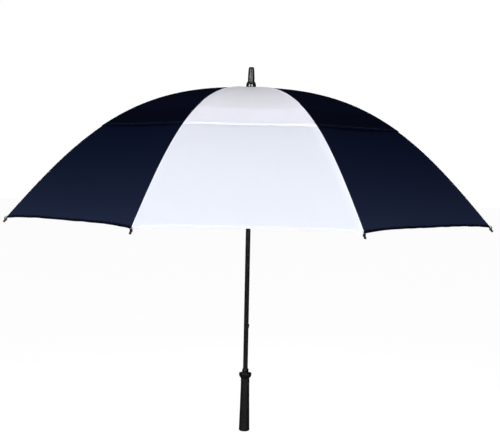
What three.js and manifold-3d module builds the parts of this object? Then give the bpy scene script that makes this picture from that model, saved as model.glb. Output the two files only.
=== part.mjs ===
// Vented golf umbrella, open. Millimetres, +Z up along the shaft, origin at the centre of the handle's end face.
// Eight ribs hinge on a crown ring, eight stretchers hinge on the ribs and on a sliding runner, and a two-layer
// fabric canopy lies over them: sixteen cut panels, eight in the lower skirt and eight in the vented crown.
import * as THREE from 'three';
import { mergeVertices } from 'three/addons/utils/BufferGeometryUtils.js';
import Module from 'manifold-3d';

const wasm = await Module();
wasm.setup();

// ---------------------------------------------------------------- driving dimensions (mm)
const RIBS = 8;
const RIM_R = 667;              // shaft axis to a fabric corner at the rim, corners at z 599.4
const DOME_R = 664, DOME_Z = 601; // radius and height at which the base profile closes
const DOME_H = 358.2;           // that height to the canopy's apex
const DOME = [0.557, 0.076, 0.683, -0.316]; // base profile: u^2, u^3, u^4, u^6
const LIFT_R = 520, LIFT = 1.9; // the outer ribs straighten a little from here, rising by this much at the rim
const TOTAL_H = 1016;           // handle end to spike tip

const SHAFT_R = 6.65, SHAFT_BORE_R = 5.0;
const SHAFT_Z = [12.4, 975.4];
const FIT = 0.3;                // assembly gap

const PIVOT_R = 11;             // crown ring and runner ring radius
const CROWN_Z = 950;            // crown ring height
const RUNNER_Z = 827.5439;      // runner ring height when open
const RING_WIRE_R = 0.55;
const EYE_R = 2.3, EYE_BORE_R = 1.0, EYE_T = 2.4;
const SLOT_W = 3.2;

const RIB_R = 2.0;              // fibreglass rib radius
const RIB_DROP = 3.7;           // rib centreline below the fabric
const P_RHO = 310.559;          // stretcher bracket position along the rib
const P_DROP = 11;              // bracket pin below the rib centreline
const P_PIVOT = [304.6854, 888.7719];
const FLEX_RHO = 322;           // where the rib's outer length starts to straighten
const STRETCHER_R = 1.9;

const PANEL_T = 0.6;
const LAYER_DROP = 1.3;         // lower skirt below the crown layer
const UPPER_RHO = [9.6, 40, 90, 145, 205, 260, 302, 340, 380, 421]; // crown layer, collar to vent hem
const LOWER_RHO = [340, 380, 421, 465, 505, 550, 590, 630, RIM_R];  // skirt, vent opening to rim
const SEAM_GAP = 0.3;
const HEM_RISE = 5;             // how far a panel's hem is cut back at mid width
const VENT_RISE = 3;

const TIP_L = 11.5, TIP_R = 3.0;

const RUNNER_L = [765, 832.2];
const RUNNER_R = 10.5, RUNNER_BORE_R = 7.1;
const KEYWAY_W = 2.2, KEYWAY_R = 8.9;
const CATCH_T = 1.4, CATCH_OUT = 2.0;
const LOWER_CATCH_Z = [287, 301], UPPER_CATCH_Z = [748.5, 764];

const COLOURS = {
  black_gloss: [0x0b0b0e, 0.18, 0.0], black_shaft: [0x101015, 0.25, 0.6], grip: [0x26272b, 0.75, 0.0],
  collar: [0x2b2c30, 0.45, 0.0], fibre: [0x17181b, 0.4, 0.0], nylon: [0x141416, 0.5, 0.0],
  steel: [0xb9bcc2, 0.3, 1.0], white: [0xeef1f8, 0.75, 0.0], navy: [0x111a33, 0.7, 0.0],
};

// ---------------------------------------------------------------- profile of the dome
const domeZ = (r) => {
  const u = r / DOME_R, t = Math.max(0, (r - LIFT_R) / (RIM_R - LIFT_R));
  return DOME_Z + DOME_H * (1 - (DOME[0] * u ** 2 + DOME[1] * u ** 3 + DOME[2] * u ** 4 + DOME[3] * u ** 6)) + LIFT * t * t;
};
const domeSlope = (r) => (domeZ(r + 0.01) - domeZ(r - 0.01)) / 0.02;
// point at radius r, moved n along the outward normal: [radial, z]
const domePoint = (r, n) => {
  const m = domeSlope(r), l = Math.hypot(1, m);
  return [r - (m * n) / l, domeZ(r) + n / l];
};
const ribPoint = (r) => {
  const start = domeZ(PIVOT_R) - CROWN_Z - RIB_DROP;
  return domePoint(r, -(RIB_DROP + start * Math.exp(-(r - PIVOT_R) / 28)));
};
// the outer length hangs a little lower, under the second layer of fabric
const OUTER_DROP = 0.7;
const ribPointOuter = (r) => {
  const t = Math.min(1, Math.max(0, (r - FLEX_RHO) / 30));
  const m = domeSlope(r), l = Math.hypot(1, m), d = OUTER_DROP * t * t * (3 - 2 * t);
  const p = ribPoint(r);
  return [p[0] + (m * d) / l, p[1] - d / l];
};
const ribSlope = (r) => {
  const a = ribPoint(r - 0.5), b = ribPoint(r + 0.5);
  return Math.atan2(b[1] - a[1], b[0] - a[0]);
};

// ---------------------------------------------------------------- solids
function toManifold(geometry) {
  const g = (geometry.index ? geometry.clone() : geometry.clone());
  g.deleteAttribute('normal');
  g.deleteAttribute('uv');
  const m = mergeVertices(g, 1e-4);
  return new wasm.Manifold(new wasm.Mesh({
    numProp: 3,
    vertProperties: new Float32Array(m.attributes.position.array),
    triVerts: new Uint32Array(m.index.array),
  }));
}
function toGeometry(solid) {
  const mesh = solid.getMesh();
  const g = new THREE.BufferGeometry();
  g.setAttribute('position', new THREE.BufferAttribute(new Float32Array(mesh.vertProperties), 3));
  g.setIndex(new THREE.BufferAttribute(new Uint32Array(mesh.triVerts), 1));
  return g;
}
const union = (list) => list.slice(1).reduce((a, b) => a.add(b), list[0]);
const cut = (a, list) => list.reduce((s, b) => s.subtract(b), a);

// turned solid about Z from a closed [radius, z] profile
function turned(profile, segments = 24) {
  const pts = profile.map((p) => new THREE.Vector2(p[0], p[1]));
  const g = new THREE.LatheGeometry(pts, segments);
  g.rotateX(Math.PI / 2);
  return toManifold(g);
}
function box(x, y, z) {
  const g = new THREE.BoxGeometry(x[1] - x[0], y[1] - y[0], z[1] - z[0]);
  g.translate((x[0] + x[1]) / 2, (y[0] + y[1]) / 2, (z[0] + z[1]) / 2);
  return toManifold(g);
}
// round bar along Y, centred on (x, z)
function barY(x, z, r, y0, y1, sides = 12) {
  const g = new THREE.CylinderGeometry(r, r, y1 - y0, sides);
  g.translate(x, (y0 + y1) / 2, z);
  return toManifold(g);
}
// plate in the radial plane, from an outline of [x, z], spanning y0..y1
function plate(outline, y0, y1) {
  const shape = new THREE.Shape(outline.map((p) => new THREE.Vector2(p[0], p[1])));
  const g = new THREE.ExtrudeGeometry(shape, { depth: y1 - y0, bevelEnabled: false, steps: 1 });
  g.rotateX(Math.PI / 2);        // (x, y, z) -> (x, -z, y)
  g.translate(0, y1, 0);
  return toManifold(g);
}
// round bar swept along points [x, z] in the radial plane
function sweptBar(points, r, sides = 8, steps = 10) {
  const curve = new THREE.CatmullRomCurve3(points.map((p) => new THREE.Vector3(p[0], 0, p[1])));
  const circle = new THREE.Shape(
    Array.from({ length: sides }, (_, k) => {
      const a = (2 * Math.PI * (k + 0.5)) / sides;
      return new THREE.Vector2(r * Math.cos(a), r * Math.sin(a));
    }));
  return toManifold(new THREE.ExtrudeGeometry(circle, { steps, bevelEnabled: false, extrudePath: curve }));
}
function straightBar(a, b, r, sides = 8) {
  const curve = new THREE.LineCurve3(new THREE.Vector3(a[0], 0, a[1]), new THREE.Vector3(b[0], 0, b[1]));
  const circle = new THREE.Shape(
    Array.from({ length: sides }, (_, k) => {
      const t = (2 * Math.PI * (k + 0.5)) / sides;
      return new THREE.Vector2(r * Math.cos(t), r * Math.sin(t));
    }));
  return toManifold(new THREE.ExtrudeGeometry(circle, { steps: 1, bevelEnabled: false, extrudePath: curve }));
}
// rectangle of the given width about the segment a-b, as an outline of [x, z]
function bar2(a, b, w) {
  const l = Math.hypot(b[0] - a[0], b[1] - a[1]);
  const n = [(-(b[1] - a[1]) / l) * (w / 2), ((b[0] - a[0]) / l) * (w / 2)];
  return [[a[0] + n[0], a[1] + n[1]], [a[0] - n[0], a[1] - n[1]], [b[0] - n[0], b[1] - n[1]], [b[0] + n[0], b[1] + n[1]]];
}
const along = (p, angle, d) => [p[0] + d * Math.cos(angle), p[1] + d * Math.sin(angle)];

// ---------------------------------------------------------------- rib, inner length
function ribInner() {
  const c = [PIVOT_R, CROWN_Z];
  const a0 = ribSlope(12);
  const eye = barY(c[0], c[1], EYE_R, -EYE_T / 2, EYE_T / 2, 10);
  const tongue = plate(bar2(c, ribPoint(18.5), 3.4), -EYE_T / 2, EYE_T / 2);
  const end = ribPoint(FLEX_RHO - 5.5);
  const pts = [ribPoint(16.8)];
  for (let k = 1; k < 9; k++) pts.push(ribPoint(16.8 + ((FLEX_RHO - 5.5 - 16.8) * k) / 9));
  pts.push(end);
  const rod = sweptBar(pts, RIB_R, 6, 8);
  // bracket: sleeve on the rib with one hanging lug and its hole
  const pRib = ribPoint(P_RHO);
  const aP = ribSlope(P_RHO);
  const sleeve = straightBar(along(pRib, aP, -8), along(pRib, aP, 4.4), 2.35, 6);
  const lug = plate(bar2(pRib, P_PIVOT, 5.4), -1.0, 1.0);
  const lugEnd = barY(P_PIVOT[0], P_PIVOT[1], 2.7, -1.0, 1.0, 8);
  // fork at the outer end
  const f = ribPoint(FLEX_RHO);
  const aF = ribSlope(FLEX_RHO);
  const cheeks = [[-2.3, -1.25], [1.25, 2.3]].map(([y0, y1]) => union([
    barY(f[0], f[1], 2.1, y0, y1, 8), plate(bar2(along(f, aF, -5.6), f, 4.2), y0, y1)]));
  const heel = plate(bar2(along(f, aF, -7.5), along(f, aF, -4.0), 4.2), -2.3, 2.3);
  const pin = barY(f[0], f[1], 0.7, -2.2, 2.2, 6);
  return cut(union([eye, tongue, rod, sleeve, lug, lugEnd, heel, ...cheeks, pin]), [
    barY(c[0], c[1], EYE_BORE_R, -3, 3, 8),
    barY(P_PIVOT[0], P_PIVOT[1], 1.25, -3, 3, 8),
  ]);
}

// ---------------------------------------------------------------- rib, outer length
function ribOuter() {
  const f = ribPoint(FLEX_RHO), aF = ribSlope(FLEX_RHO);
  const pts = [];
  for (let k = 0; k <= 8; k++) pts.push(ribPointOuter(FLEX_RHO + 3.2 + ((RIM_R - FLEX_RHO - 3.2) * k) / 8));
  const aT = ribSlope(RIM_R);
  pts.push(along(ribPointOuter(RIM_R), aT, 8));
  const rod = sweptBar(pts, 1.6, 6, 9);
  const eye = barY(f[0], f[1], 1.9, -0.85, 0.85, 8);
  const tongue = plate(bar2(f, along(f, aF, 6.5), 2.8), -0.85, 0.85);
  return cut(union([rod, eye, tongue]), [barY(f[0], f[1], 1.0, -2, 2, 8)]);
}

// ---------------------------------------------------------------- moulded rib tip
function ribTip() {
  const a = ribSlope(RIM_R), s = ribPointOuter(RIM_R);
  const d = [Math.cos(a), Math.sin(a)];
  // profile about the rib's axis: cup, waist and rounded nose
  const prof = [[0, 8.4], [1.95, 8.4], [1.95, 1.0], [2.7, 1.0], [TIP_R, 1.8], [TIP_R, 6.6], [2.5, 7.8], [2.6, 8.8],
    [3.0, 9.7], [2.7, 10.8], [1.4, TIP_L], [0, TIP_L]];
  const g = new THREE.LatheGeometry(prof.map((p) => new THREE.Vector2(p[0], p[1])), 8);
  // LatheGeometry turns about Y: carry Y onto the rib direction
  const q = new THREE.Quaternion().setFromUnitVectors(new THREE.Vector3(0, 1, 0), new THREE.Vector3(d[0], 0, d[1]));
  g.applyQuaternion(q);
  g.translate(s[0], 0, s[1]);
  return toManifold(g);
}

// ---------------------------------------------------------------- stretcher
function stretcher() {
  const r = [PIVOT_R, RUNNER_Z], p = P_PIVOT;
  const ang = Math.atan2(p[1] - r[1], p[0] - r[0]);
  const eye = barY(r[0], r[1], EYE_R, -EYE_T / 2, EYE_T / 2, 10);
  const tongue = plate(bar2(r, along(r, ang, 9), 3.4), -EYE_T / 2, EYE_T / 2);
  const rod = straightBar(along(r, ang, 5.9), along(p, ang, -7), STRETCHER_R, 6);
  const heel = plate(bar2(along(p, ang, -9.5), along(p, ang, -4.9), 4.0), -2.5, 2.5);
  const cheeks = [[-2.5, -1.35], [1.35, 2.5]].map(([y0, y1]) => union([
    barY(p[0], p[1], 2.5, y0, y1, 8), plate(bar2(along(p, ang, -5.6), p, 4.0), y0, y1)]));
  const pin = barY(p[0], p[1], 0.9, -2.4, 2.4, 6);
  return cut(union([eye, tongue, rod, heel, ...cheeks, pin]), [barY(r[0], r[1], EYE_BORE_R, -3, 3, 8)]);
}

// ---------------------------------------------------------------- slotted rings that carry the pivots
function slottedRing(z, below, above, coreLow, coreHigh, bore, coreR) {
  const outer = 13.5;
  const prof = [[bore, coreLow], [coreR, coreLow], [coreR, z - below], [outer, z - below], [outer, z + above],
    [coreR, z + above], [coreR, coreHigh], [bore, coreHigh], [bore, coreLow]];
  let s = turned(prof, 24);
  const groove = turned([[PIVOT_R - 0.95, z - 0.95], [PIVOT_R + 0.95, z - 0.95], [PIVOT_R + 0.95, z + above + 2],
    [PIVOT_R - 0.95, z + above + 2], [PIVOT_R - 0.95, z - 0.95]], 24);
  s = s.subtract(groove);
  for (let k = 0; k < RIBS; k++) {
    const a = -90 + 22.5 + 45 * k;
    s = s.subtract(box([8.45, 20], [-SLOT_W / 2, SLOT_W / 2], [z - below - 3, z + above + 3]).rotate([0, 0, a]));
  }
  return s;
}
function wireRing(z) {
  const pts = Array.from({ length: 6 }, (_, k) => {
    const a = (2 * Math.PI * k) / 6;
    return [PIVOT_R + RING_WIRE_R * Math.cos(a), z + RING_WIRE_R * Math.sin(a)];
  });
  pts.push(pts[0]);
  return turned(pts, 24);
}

function crownNotch() {
  return slottedRing(CROWN_Z, 4, 4.4, 938, CROWN_Z + 4.4, SHAFT_R + FIT, 8.4);
}
function runner() {
  const z = RUNNER_Z;
  // body, waist and flared skirt below the slotted head
  const body = turned([[RUNNER_BORE_R, RUNNER_L[0]], [10.2, RUNNER_L[0]], [11.6, RUNNER_L[0] + 2], [11.6, RUNNER_L[0] + 7],
    [RUNNER_R, RUNNER_L[0] + 12], [RUNNER_R, z - 12], [12.4, z - 8], [12.4, z - 4.6], [RUNNER_BORE_R, z - 4.6],
    [RUNNER_BORE_R, RUNNER_L[0]]], 20);
  const head = slottedRing(z, 4.8, 4.4, z - 6, z + 4.4, RUNNER_BORE_R, 8.5);
  const keyway = box([0, KEYWAY_R], [-KEYWAY_W / 2, KEYWAY_W / 2], [RUNNER_L[0] - 5, z + 10]);
  return cut(body.add(head), [keyway]);
}

// ---------------------------------------------------------------- shaft and the pieces fixed to it
function shaft() {
  const tube = turned([[SHAFT_BORE_R, SHAFT_Z[0]], [SHAFT_R, SHAFT_Z[0]], [SHAFT_R, SHAFT_Z[1]], [SHAFT_BORE_R, SHAFT_Z[1]],
    [SHAFT_BORE_R, SHAFT_Z[0]]], 24);
  const slots = [LOWER_CATCH_Z, UPPER_CATCH_Z].map((z) =>
    box([3, 8], [-CATCH_T / 2 - 0.3, CATCH_T / 2 + 0.3], [z[0] - 0.6, z[1] + 0.6]));
  return cut(tube, slots);
}
function catchLeaf(z) {
  const o = SHAFT_R + CATCH_OUT;
  return plate([[-1.2, z[0] - 5], [0.6, z[0] - 5], [2.6, z[0]], [SHAFT_R - 0.4, z[0]], [o, z[1] - 4.5], [o, z[1] - 1.2],
    [o - 1.0, z[1]], [2.2, z[1]], [0.4, z[1] + 5], [-1.2, z[1] + 5]], -CATCH_T / 2, CATCH_T / 2);
}
function ferrule() {
  return turned([[0, 944], [SHAFT_BORE_R - FIT, 944], [SHAFT_BORE_R - FIT, 975.9], [9.3, 975.9],
    [9.3, 981], [9.1, 990], [8.65, 1000], [8.15, 1006.5], [7.6, 1011.5], [6.9, 1014.6], [5.4, TOTAL_H], [0, TOTAL_H]], 18);
}
function ferruleCap() {
  return turned([[SHAFT_R + FIT, 962.4], [11.4, 962.4], [12.1, 960.3], [13.4, 960.3], [13.65, 961.3], [13.65, 966], [13.3, 969.3],
    [12.5, 971.9], [11.5, 974.1], [10.2, 975.6], [SHAFT_R + FIT, 975.6], [SHAFT_R + FIT, 962.4]], 20);
}
function grip() {
  // rounded octagonal section, flaring from the collar to the end
  const rows = [[0, 12.6], [0.8, 13.9], [2.4, 14.9], [4.4, 15.3], [30, 14.85], [63, 13.95], [100, 13.15], [147.8, 12.15]];
  const g = new THREE.LatheGeometry(
    [new THREE.Vector2(0, 0), ...rows.map((p) => new THREE.Vector2(p[1], p[0])), new THREE.Vector2(SHAFT_R + FIT, 147.8),
      new THREE.Vector2(SHAFT_R + FIT, 12), new THREE.Vector2(0, 12)], 20);
  g.rotateX(Math.PI / 2);
  return toManifold(g);
}
function collar() {
  return turned([[SHAFT_R + FIT, 148.2], [11.9, 148.2], [13.2, 149.9], [15.3, 152.4], [16.9, 155.4], [17.5, 158.8], [17.5, 162.6],
    [16.6, 164], [9.2, 164], [8.6, 165.4], [9.35, 166.6], [9.35, 173.4], [8.2, 174.6], [7.8, 176.2], [SHAFT_R + FIT, 176.2],
    [SHAFT_R + FIT, 148.2]], 20);
}

// ---------------------------------------------------------------- fabric panels between two ribs
// local frame: x along the panel's middle, y across it; rows of radii run from the collar side to the hem side
function panel(rows, drop, rise, across) {
  const n = rows.length - 1;
  const g = new THREE.BoxGeometry(n, 2, 1, n, across, 1);
  const pos = g.attributes.position;
  const c = Math.cos(Math.PI / RIBS), s = Math.sin(Math.PI / RIBS);
  for (let i = 0; i < pos.count; i++) {
    const row = Math.round(pos.getX(i) + n / 2), v = pos.getY(i), side = pos.getZ(i) > 0 ? 1 : -1;
    const r = rows[row] - (row === n ? rise * (1 - Math.abs(v) ** 3.2) : 0);
    const [pr, pz] = domePoint(r, -drop + (side * PANEL_T) / 2);
    pos.setXYZ(i, pr * c, v * (pr * s - SEAM_GAP), pz);
  }
  return toManifold(g);
}

// ---------------------------------------------------------------- tie strap under the rear panel's hem
function tieStrap() {
  const c = Math.cos(Math.PI / RIBS);
  const g = new THREE.BoxGeometry(1, 2, 1, 6, 1, 1);
  const pos = g.attributes.position;
  for (let i = 0; i < pos.count; i++) {
    const u = pos.getX(i) + 0.5, side = pos.getZ(i) > 0 ? 1 : -1;
    const [pr, pz] = domePoint(500 + 140 * u, -LAYER_DROP - 1.6 + side * 0.5);
    pos.setXYZ(i, pr * c, pos.getY(i) * 12 + 0, pz);
  }
  return toManifold(g);
}

// ---------------------------------------------------------------- assembly
const umbrella = new THREE.Group();
umbrella.name = 'golf_umbrella';
function add(name, solid, colour, degrees = 0) {
  const [hex, roughness, metalness] = COLOURS[colour];
  const mesh = new THREE.Mesh(solid.isBufferGeometry ? solid : toGeometry(solid),
    new THREE.MeshStandardMaterial({ color: hex, roughness, metalness }));
  mesh.name = name;
  mesh.rotation.z = THREE.MathUtils.degToRad(degrees);
  umbrella.add(mesh);
}

add('shaft', shaft(), 'black_shaft');
add('crown_notch', crownNotch(), 'nylon');
add('crown_ring', wireRing(CROWN_Z), 'steel');
add('ferrule', ferrule(), 'black_gloss');
add('ferrule_cap', ferruleCap(), 'black_gloss');
add('runner', runner(), 'nylon');
add('runner_ring', wireRing(RUNNER_Z), 'steel');
add('top_catch', catchLeaf(UPPER_CATCH_Z), 'steel');
add('bottom_catch', catchLeaf(LOWER_CATCH_Z), 'steel');
add('handle_grip', grip(), 'grip');
add('handle_collar', collar(), 'collar');

const shapes = {
  rib_inner: toGeometry(ribInner()), rib_outer: toGeometry(ribOuter()), rib_tip: toGeometry(ribTip()),
  stretcher: toGeometry(stretcher()),
  upper: toGeometry(panel(UPPER_RHO, 0, VENT_RISE, 2)),
  lower: toGeometry(panel(LOWER_RHO, LAYER_DROP, HEM_RISE, 4)),
};
for (let k = 0; k < RIBS; k++) {
  // ribs at 22.5, 67.5 ... degrees from the front, panels centred at 0, 45 ... degrees; the front is -Y
  const rib = -90 + 22.5 + 45 * k, mid = -90 + 45 * k, n = k + 1;
  add(`rib_inner_${n}`, shapes.rib_inner, 'fibre', rib);
  add(`rib_outer_${n}`, shapes.rib_outer, 'fibre', rib);
  add(`rib_tip_${n}`, shapes.rib_tip, 'black_gloss', rib);
  add(`stretcher_${n}`, shapes.stretcher, 'fibre', rib);
  const colour = k % 2 === 0 ? 'white' : 'navy';
  add(`canopy_upper_${n}`, shapes.upper, colour, mid);
  add(`canopy_lower_${n}`, shapes.lower, colour, mid);
}
add('tie_strap', tieStrap(), 'white', -90 + 45 * 4);

export default umbrella;
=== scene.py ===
import bpy, math
import numpy as np
from mathutils import Vector, Matrix


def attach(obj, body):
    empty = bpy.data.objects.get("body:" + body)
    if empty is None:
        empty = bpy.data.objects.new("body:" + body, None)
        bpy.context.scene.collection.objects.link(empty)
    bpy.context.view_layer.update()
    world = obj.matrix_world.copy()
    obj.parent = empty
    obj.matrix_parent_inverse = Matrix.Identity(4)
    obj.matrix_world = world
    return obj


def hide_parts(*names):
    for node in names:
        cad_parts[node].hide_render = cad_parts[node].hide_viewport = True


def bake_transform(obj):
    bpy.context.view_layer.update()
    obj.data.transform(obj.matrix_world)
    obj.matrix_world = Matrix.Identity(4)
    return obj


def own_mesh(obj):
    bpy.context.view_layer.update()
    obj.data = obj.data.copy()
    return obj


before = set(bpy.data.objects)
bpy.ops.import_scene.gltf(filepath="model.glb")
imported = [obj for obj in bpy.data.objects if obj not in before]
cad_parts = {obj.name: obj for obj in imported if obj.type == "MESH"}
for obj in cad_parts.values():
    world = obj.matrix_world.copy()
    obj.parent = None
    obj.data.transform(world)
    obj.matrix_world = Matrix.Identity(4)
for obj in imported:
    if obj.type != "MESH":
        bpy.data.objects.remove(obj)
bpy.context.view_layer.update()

# ------------------------------------------------------------------ numbers (mm until the mesh is made)
MM = 0.001
DOME_R, DOME_Z, DOME_H = 664.0, 601.0, 358.2
RIM_R, LIFT_R, LIFT = 667.0, 520.0, 1.9
SHAFT_R = 6.65
C225, S225 = math.cos(math.radians(22.5)), math.sin(math.radians(22.5))
PIVOT_R, CROWN_Z, RUNNER_Z = 11.0, 950.0, 827.5439
P_RHO, P_PIVOT, FLEX_RHO = 310.559, (304.6854, 888.7719), 322.0
RNG = np.random.default_rng(20260)


def dome_z(r):
    r = np.asarray(r, float)
    u, t = r / DOME_R, np.maximum(0, (r - LIFT_R) / (RIM_R - LIFT_R))
    return DOME_Z + DOME_H * (1 - (0.557 * u**2 + 0.076 * u**3 + 0.683 * u**4 - 0.316 * u**6)) + LIFT * t * t


def dome_slope(r):
    return (dome_z(np.asarray(r) + 0.01) - dome_z(np.asarray(r) - 0.01)) / 0.02


def dome_pt(r, n):
    m = dome_slope(r)
    l = np.hypot(1, m)
    return r - m * n / l, dome_z(r) + n / l


def rib_pt(r):
    start = dome_z(PIVOT_R) - CROWN_Z - 3.7
    x, z = dome_pt(r, -(3.7 + start * np.exp(-(r - PIVOT_R) / 28)))
    t = np.clip((r - FLEX_RHO) / 30, 0, 1)
    m = dome_slope(r)
    l = np.hypot(1, m)
    d = 0.7 * t * t * (3 - 2 * t)
    return x + m * d / l, z - d / l


def rib_dir(r):
    a, b = rib_pt(r - 0.5), rib_pt(r + 0.5)
    v = np.array([b[0] - a[0], b[1] - a[1]])
    return v / np.linalg.norm(v)


# arc length table along the dome
_rr = np.linspace(0, 700, 2801)
_arc = np.r_[0, np.cumsum(np.hypot(np.diff(_rr), np.diff(dome_z(_rr))))]
arc = lambda r: np.interp(r, _rr, _arc)
rho_at = lambda s: np.interp(s, _arc, _rr)


def to_world(x, y, z, deg):
    """local radial x, tangential y, height z (mm) at an azimuth from the front (-Y) -> world metres"""
    a = math.radians(deg)
    x, y, z = np.broadcast_arrays(np.asarray(x, float), np.asarray(y, float), np.asarray(z, float))
    return np.stack([(x * math.sin(a) + y * math.cos(a)) * MM, (-x * math.cos(a) + y * math.sin(a)) * MM, z * MM], -1)


# ------------------------------------------------------------------ mesh helpers
def make_object(name, verts, faces, mats, face_mat=None, uv=None, sharp=None, smooth=True):
    me = bpy.data.meshes.new(name)
    me.from_pydata([tuple(v) for v in np.asarray(verts, float)], [], [tuple(int(i) for i in f) for f in faces])
    for m in mats:
        me.materials.append(m)
    if face_mat is not None:
        me.polygons.foreach_set("material_index", np.asarray(face_mat, np.int32))
    me.polygons.foreach_set("use_smooth", np.full(len(me.polygons), smooth))
    if uv is not None:
        layer = me.uv_layers.new(name="weave")
        loops = np.empty(len(me.loops), np.int32)
        me.loops.foreach_get("vertex_index", loops)
        layer.data.foreach_set("uv", np.asarray(uv, np.float32)[loops].ravel())
    me.update()
    me.validate()
    if sharp:
        me.set_sharp_from_angle(angle=math.radians(sharp))
    o = bpy.data.objects.new(name, me)
    bpy.context.scene.collection.objects.link(o)
    return o


def lathe(profile, n=64, closed=True, section=None):
    """turned solid about Z; profile of [r, z] mm, first and last joined; r = 0 rows become one vertex.
    section(angle, row) scales the radius for non-round sections"""
    prof = [tuple(p) for p in profile]
    verts, rows = [], []
    for k, (r, z) in enumerate(prof):
        if r < 1e-6:
            rows.append([len(verts)])
            verts.append((0, 0, z))
        else:
            row = []
            for i in range(n):
                a = 2 * math.pi * i / n
                s = section(a, k, z) if section else 1.0
                row.append(len(verts))
                verts.append((r * s * math.cos(a), r * s * math.sin(a), z))
            rows.append(row)
    faces = []
    pairs = list(zip(rows[:-1], rows[1:]))
    if closed and not (len(rows[0]) == 1 and len(rows[-1]) == 1):
        pairs.append((rows[-1], rows[0]))
    for a, b in pairs:
        for i in range(n):
            j = (i + 1) % n
            if len(a) == 1 and len(b) == 1:
                continue
            if len(a) == 1:
                faces.append((a[0], b[j], b[i]))
            elif len(b) == 1:
                faces.append((a[i], a[j], b[0]))
            else:
                faces.append((a[i], a[j], b[j], b[i]))
    return np.array(verts, float) * MM, faces


def fix_normals(o):
    import bmesh
    bm = bmesh.new()
    bm.from_mesh(o.data)
    bmesh.ops.recalc_face_normals(bm, faces=bm.faces)
    bm.to_mesh(o.data)
    bm.free()
    return o


def sweep(points, radii, n=12, up=(0, 1, 0), caps=True, squash=None):
    """round or oval bar along 3D points; radii may be pairs (across, along up)"""
    P = np.asarray(points, float)
    T = np.gradient(P, axis=0)
    T /= np.linalg.norm(T, axis=1)[:, None]
    up = np.asarray(up, float)
    verts = []
    for k in range(len(P)):
        b = np.cross(T[k], up)
        b /= np.linalg.norm(b)
        u = np.cross(b, T[k])
        ra, rb = radii[k] if np.ndim(radii[k]) else (radii[k], radii[k])
        for i in range(n):
            a = 2 * math.pi * i / n
            verts.append(P[k] + b * (ra * math.cos(a)) + u * (rb * math.sin(a)))
    faces = []
    for k in range(len(P) - 1):
        for i in range(n):
            j = (i + 1) % n
            faces.append((k * n + i, k * n + j, (k + 1) * n + j, (k + 1) * n + i))
    if caps:
        c0, c1 = len(verts), len(verts) + 1
        verts.append(P[0]); verts.append(P[-1])
        for i in range(n):
            j = (i + 1) % n
            faces.append((c0, j, i))
            faces.append((c1, (len(P) - 1) * n + i, (len(P) - 1) * n + j))
    return np.array(verts), faces


class Builder:
    """collects closed shells into one mesh"""
    def __init__(self):
        self.v, self.f, self.m, self.n = [], [], [], 0

    def add(self, verts, faces, mat=0):
        self.v.append(np.asarray(verts, float))
        self.f += [tuple(int(i) + self.n for i in f) for f in faces]
        self.m += [mat] * len(faces)
        self.n += len(verts)
        return self

    def make(self, name, mats, sharp=40, uv=None):
        return make_object(name, np.concatenate(self.v), self.f, mats, self.m, uv=uv, sharp=sharp)


def prism(outline, y0, y1, bevel=0.25):
    """plate in the radial plane from an [x, z] outline, between y0 and y1, with small chamfers"""
    P = np.asarray(outline, float)
    if np.sum(P[:, 0] * np.roll(P[:, 1], -1) - np.roll(P[:, 0], -1) * P[:, 1]) < 0:
        P = P[::-1]
    n = len(P)
    prev, nxt = np.roll(P, 1, 0), np.roll(P, -1, 0)
    e1 = P - prev; e1 /= np.linalg.norm(e1, axis=1)[:, None]
    e2 = nxt - P; e2 /= np.linalg.norm(e2, axis=1)[:, None]
    nrm = np.stack([-(e1 + e2)[:, 1], (e1 + e2)[:, 0]], 1)
    nrm /= np.maximum(np.linalg.norm(nrm, axis=1)[:, None], 1e-9)
    Q = P + nrm * bevel
    rows = [(Q, y0), (P, y0 + bevel), (P, y1 - bevel), (Q, y1)]
    verts = np.concatenate([np.stack([r[:, 0], np.full(n, y), r[:, 1]], 1) for r, y in rows])
    faces = [tuple(range(n))]
    for k in range(3):
        for i in range(n):
            j = (i + 1) % n
            faces.append((k * n + i, (k + 1) * n + i, (k + 1) * n + j, k * n + j))
    faces.append(tuple(reversed(range(3 * n, 4 * n))))
    return verts, faces


def rounded_bar(a, b, w, n=8):
    """outline of [x, z] for a bar from a to b with round ends"""
    a, b = np.array(a, float), np.array(b, float)
    ang = math.atan2(*(b - a)[::-1])
    out = []
    for k in range(n + 1):
        t = ang - math.pi / 2 + math.pi * k / n
        out.append(b + w / 2 * np.array([math.cos(t), math.sin(t)]))
    for k in range(n + 1):
        t = ang + math.pi / 2 + math.pi * k / n
        out.append(a + w / 2 * np.array([math.cos(t), math.sin(t)]))
    return out


def bar_y(x, z, r, y0, y1, n=20, bevel=0.2):
    t = 2 * math.pi * np.arange(n) / n
    return prism(np.stack([x + r * np.cos(t), z + r * np.sin(t)], 1), y0, y1, bevel)


def place(local, deg):
    """local mm (radial, tangential, z) -> world metres"""
    local = np.asarray(local, float)
    return to_world(local[:, 0], local[:, 1], local[:, 2], deg)


# ------------------------------------------------------------------ materials
def new_mat(name):
    m = bpy.data.materials.new(name)
    m.use_nodes = True
    nt = m.node_tree
    nt.nodes.clear()
    out = nt.nodes.new("ShaderNodeOutputMaterial")
    return m, nt, out


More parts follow.
